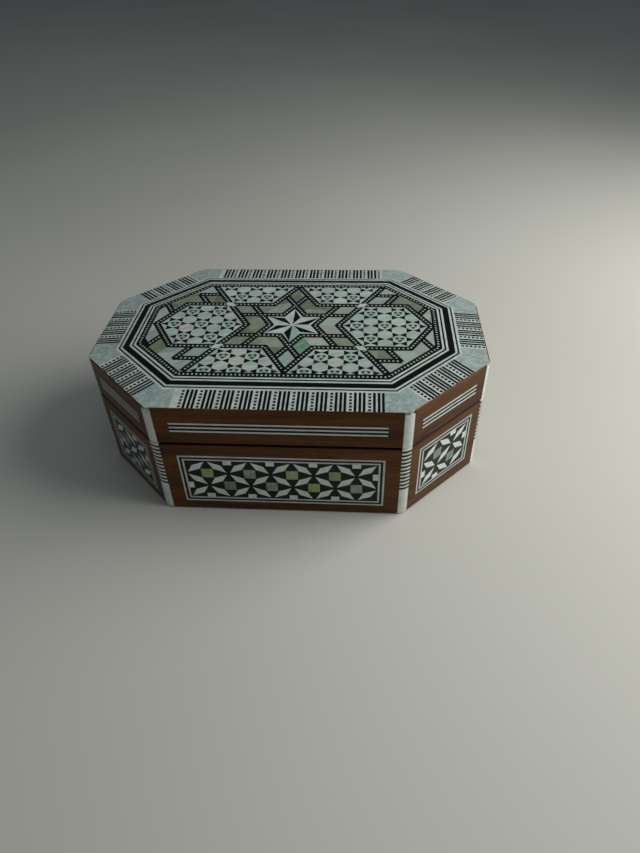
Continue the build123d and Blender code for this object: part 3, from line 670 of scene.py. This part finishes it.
def dress_cad_nodes():
    """Give every CAD node its finished material."""
    woods = {turn: lacquered_wood(turn) for turn in (0, 45, 90, 135)}
    dark = ebony("ebony")
    white = bone("bone")
    pale = shell("pale_shell", srgb(146, 162, 155), srgb(162, 179, 171), srgb(180, 194, 187))
    olive = shell("olive_shell", srgb(107, 118, 98), srgb(128, 141, 121), srgb(156, 172, 150))
    yellow = shell("panel_olive_shell", srgb(128, 144, 84), srgb(158, 178, 108), srgb(184, 204, 134))
    rose = shell("rose_shell", srgb(105, 110, 92), srgb(127, 133, 116), srgb(155, 164, 150),
                 paler=(180.0, -10 * MM, srgb(168, 174, 166)))
    grey = shell("grey_shell", srgb(106, 116, 106), srgb(133, 145, 135), srgb(163, 180, 168))
    abalone = abalone_shell()
    plates = shell("corner_plate_shell", srgb(152, 168, 167), srgb(164, 180, 178), srgb(182, 196, 194),
                   cell=1.3)
    brass = metal("brass", srgb(214, 176, 104), srgb(150, 116, 62), 0.42)
    steel = metal("steel_pin", srgb(190, 190, 192), srgb(140, 138, 134), 0.38)
    plain = inner_wood()
    joints = bone("mosaic_ground", 0.0, None, srgb(140, 152, 146), srgb(160, 172, 166))
    strips = bone("strip_bone", 90.0, None, srgb(214, 226, 216), srgb(236, 244, 238))
    side_lines = bone("side_line_bone", 0.0, None, srgb(196, 210, 202), srgb(222, 232, 226))
    for name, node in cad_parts.items():
        if "_wall_" in name and name.split("_wall_")[1] in GRAIN:
            material = woods[GRAIN[name.split("_wall_")[1]]]
        elif "corner_plates" in name:
            material = plates
        elif "panel_olive" in name:
            material = yellow
        elif "olive" in name:
            material = olive
        elif "rose_shell" in name:
            material = rose
        elif "grey_shell" in name:
            material = grey
        elif "pale_shell" in name:
            material = pale
        elif "abalone" in name:
            material = abalone
        elif "board" in name:
            material = plain
        elif "pins" in name:
            material = steel
        elif name.startswith("hinge"):
            material = brass
        elif any(word in name for word in ("ebony", "filets", "dotted_band")):
            material = dark
        elif "mosaic" in name:
            material = joints
        elif "side_bone_lines" in name:
            material = side_lines
        elif any(word in name for word in BRIGHT_BONE):
            material = strips
        else:
            material = white
        for place in node.material_slots:
            place.material = material


# ------------------------------------------------------------------ velvet and felt
WALL = 7.0 * MM
LINING = 0.9 * MM
CLOTH_ROUND = 0.45 * MM             # radius of a lining's turned-over edge
CLOTH_RIPPLE = 0.08 * MM            # unevenness of the pile
RIPPLE_SIZE = 7 * MM
FELT_INSET = 1.5 * MM               # the felt's edge from the box's outline
ROUND_SHARE = 0.7                   # a thin cloth's rounded edge, as a share of its thickness
RING_HEART = 4 * MM                 # half the width of the innermost ring
CLOTH_STEP = 6 * MM                 # greatest step along a wall's velvet
ROUND_STEPS = 4                     # steps of a rounded edge
RING_STEPS = 16                     # rings from a flat cloth's edge to its middle
SIDE_STEPS = 12                     # points on each side of a ring
HEIGHT_STEPS = 6                    # steps up a wall's velvet
LEAST_STEPS = 4                     # steps along the shortest wall


def ripple(point):
    """Slight unevenness of a cloth surface, from 0 to CLOTH_RIPPLE, inwards."""
    return CLOTH_RIPPLE * (0.5 + 0.5 * noise.noise(point / RIPPLE_SIZE))


def rounded(radius):
    """Offsets of a quarter round: along the back-to-front way, and in from the edge."""
    steps = [k * pi / 2 / ROUND_STEPS for k in range(ROUND_STEPS + 1)]
    return [(radius * sin(a), radius * (1 - cos(a))) for a in steps]


def joined_piece(name, mesh, replaced, body, material):
    """Finish a cloth piece that stands for a CAD node."""
    data = bpy.data.meshes.new(name)
    bmesh.ops.recalc_face_normals(mesh, faces=mesh.faces)
    for face in mesh.faces:
        face.smooth = True
    mesh.to_mesh(data)
    mesh.free()
    data.materials.append(material)
    piece = bpy.data.objects.new(name, data)
    bpy.context.scene.collection.objects.link(piece)
    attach(piece, body)
    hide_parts(replaced)
    return piece


def loft(mesh, rings):
    """Skin between closed rings of points, with a flat cap at both ends."""
    made = [[mesh.verts.new(point) for point in ring] for ring in rings]
    for ring, after in zip(made, made[1:]):
        for k in range(len(ring)):
            n = (k + 1) % len(ring)
            mesh.faces.new((ring[k], ring[n], after[n], after[k]))
    mesh.faces.new(list(reversed(made[0])))
    mesh.faces.new(made[-1])


def flat_cloth(name, replaced, inset, facing, body, material):
    """An octagonal cloth with a turned-over edge; facing is 1 up or -1 down."""
    low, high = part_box(replaced)
    back, front = (low.z, high.z) if facing > 0 else (high.z, low.z)
    radius = min(CLOTH_ROUND, abs(front - back) * ROUND_SHARE)
    profile = [(inset, back)]
    profile += [(inset + step_in, front + facing * (out - radius)) for out, step_in in rounded(radius)]
    edge = inset + radius
    reach = HALF_WIDTH - edge - RING_HEART
    profile += [(edge + reach * k / RING_STEPS, front) for k in range(1, RING_STEPS + 1)]
    rings = []
    for ring_inset, z in profile:
        corners = octagon(ring_inset)
        ring = []
        for start, end in zip(corners, corners[1:] + corners[:1]):
            for k in range(SIDE_STEPS):
                plan = start + (end - start) * k / SIDE_STEPS
                drop = ripple(Vector((plan.x, plan.y, inset))) if z != back else 0.0
                ring.append(Vector((plan.x, plan.y, z - facing * drop)))
        rings.append(ring)
    mesh = bmesh.new()
    loft(mesh, rings)
    return joined_piece(name, mesh, replaced, body, material)


def wall_cloth(name, replaced, rim_up, body, material):
    """Velvet on the eight walls, rounded along the rim."""
    low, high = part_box(replaced)
    rim, foot = (high.z, low.z) if rim_up else (low.z, high.z)
    way = 1 if rim_up else -1
    profile = [(0.0, foot), (LINING, foot)]
    profile += [(LINING, foot + (rim - foot) * k / HEIGHT_STEPS) for k in range(1, HEIGHT_STEPS)]
    profile += [(LINING - step_in, rim + way * (out - CLOTH_ROUND))
                for out, step_in in rounded(CLOTH_ROUND)]
    profile.append((0.0, rim))
    mesh = bmesh.new()
    for number in range(8):
        steps = max(LEAST_STEPS, ceil(SIDES[number].length / CLOTH_STEP))
        rings = []
        for k in range(steps + 1):
            ring = []
            for depth, z in profile:
                side = Side(number, WALL + depth)
                plan = side.point(side.length * (k / steps - 0.5), 0.0)
                if depth > 0.0 and 0 < k < steps:
                    plan = plan - side.inward * ripple(Vector((plan.x, plan.y, z)))
                ring.append(Vector((plan.x, plan.y, z)))
            rings.append(ring)
        loft(mesh, rings)
    return joined_piece(name, mesh, replaced, body, material)


def make_cloths():
    pile, cloth = velvet(), felt()
    flat_cloth("floor_velvet", "base_floor_lining", WALL, 1, "base", pile)
    flat_cloth("lid_velvet", "lid_top_lining", WALL, -1, "lid", pile)
    flat_cloth("underside_felt", "base_felt", FELT_INSET, -1, "base", cloth)
    wall_cloth("base_wall_velvet", "base_wall_lining", True, "base", pile)
    wall_cloth("lid_wall_velvet", "lid_wall_lining", False, "lid", pile)


# ------------------------------------------------------------------ the marquetry's fine pieces
BLOOM_PROUD = 0.02 * MM             # the mosaic's layers, each above the one under it
HEART_PROUD = 0.03 * MM
RAY_PROUD = 0.04 * MM
SEED_PROUD = 0.05 * MM


def make_tesserae():
    black_tesserae = ebony("ebony_tesserae", 90.0)
    border = Tesserae("border_lines_and_dots", "ebony")
    border_tesserae(border)
    border.finish(black_tesserae)
    dots = Tesserae("filet_and_band_dots", "bone")
    band_tesserae(dots)
    filet_tesserae(dots)
    dots.finish(bone("bone_dots", 0.0, DOT_TONES))
    layers = {
        "bloom": Tesserae("mosaic_blooms", "bone", BLOOM_PROUD),
        "heart": Tesserae("mosaic_hearts", "bone", HEART_PROUD),
        "middle": Tesserae("mosaic_heart_middles", "bone", RAY_PROUD),
        "black": Tesserae("mosaic_black_rays", "ebony", RAY_PROUD),
        "brown": Tesserae("mosaic_brown_rays", "lacquered_wood", RAY_PROUD),
        "seed": Tesserae("mosaic_heart_seeds", "ebony", SEED_PROUD),
    }
    mosaic_tesserae(layers)
    layers["bloom"].finish(bone("bone_blooms", 20.0, BLOOM_TONES))
    layers["heart"].finish(bone("bone_hearts", 70.0, HEART_TONES))
    layers["black"].finish(black_tesserae)
    layers["seed"].finish(black_tesserae)
    layers["middle"].finish(bone("bone_heart_middles", 40.0, MIDDLE_TONES))
    layers["brown"].finish(ebony("brown_rays", 60.0, srgb(44, 30, 26), srgb(74, 54, 48)))


# ------------------------------------------------------------------ floor, light and camera
FLOOR_RADIUS = 6.0
FLOOR_SEGMENTS = 96
LIT_POINT = (0.0, 0.0, 0.03)        # what the lamps point at
WORLD_COLOUR = (0.82, 0.9, 1.0, 1.0)
WORLD_STRENGTH = 0.085


def make_floor():
    mesh = bmesh.new()
    bmesh.ops.create_circle(mesh, cap_ends=True, segments=FLOOR_SEGMENTS, radius=FLOOR_RADIUS)
    data = bpy.data.meshes.new("floor")
    mesh.to_mesh(data)
    mesh.free()
    data.materials.append(floor_surface())
    floor_object = bpy.data.objects.new("floor", data)
    bpy.context.scene.collection.objects.link(floor_object)


def aimed(thing, place, target):
    """Put a light or camera at a place, looking at a target."""
    thing.location = place
    thing.rotation_euler = (Vector(target) - Vector(place)).to_track_quat("-Z", "Y").to_euler()
    bpy.context.scene.collection.objects.link(thing)


def area_light(name, place, size, power, colour):
    light = bpy.data.lights.new(name, "AREA")
    light.shape = "DISK"
    light.size = size
    light.energy = power
    light.color = colour
    aimed(bpy.data.objects.new(name, light), place, LIT_POINT)


def make_lights():
    area_light("window", (0.42, 0.03, 0.31), 0.5, 2.7, (1.0, 0.99, 0.95))
    area_light("ceiling", (0.1, 0.0, 1.3), 1.4, 2.0, (0.84, 0.94, 1.0))
    world = bpy.data.worlds.new("studio")
    world.use_nodes = True
    background = world.node_tree.nodes["Background"]
    background.inputs["Color"].default_value = WORLD_COLOUR
    background.inputs["Strength"].default_value = WORLD_STRENGTH
    bpy.context.scene.world = world
    bpy.context.scene.view_settings.view_transform = "Standard"


CAMERA_PLACE = (0.0319, -0.2382, 0.2041)
CAMERA_YAW = 0.0843
CAMERA_PITCH = 0.7092
CAMERA_ROLL = -0.0329
CAMERA_LENS = 26.22


def make_camera():
    camera = bpy.data.cameras.new("camera")
    camera.lens = CAMERA_LENS
    forward = Vector((-sin(CAMERA_YAW) * cos(CAMERA_PITCH), cos(CAMERA_YAW) * cos(CAMERA_PITCH),
                      -sin(CAMERA_PITCH)))
    right = Vector((cos(CAMERA_YAW), sin(CAMERA_YAW), 0.0))
    up = right.cross(forward)
    tilted_right = right * cos(CAMERA_ROLL) + up * sin(CAMERA_ROLL)
    tilted_up = up * cos(CAMERA_ROLL) - right * sin(CAMERA_ROLL)
    seen = bpy.data.objects.new("camera", camera)
    seen.matrix_world = Matrix.Translation(CAMERA_PLACE) @ Matrix(
        (tilted_right, tilted_up, -forward)).transposed().to_4x4()
    bpy.context.scene.collection.objects.link(seen)
    bpy.context.scene.camera = seen


make_camera()
make_lights()
make_floor()
dress_cad_nodes()
make_tesserae()
make_cloths()
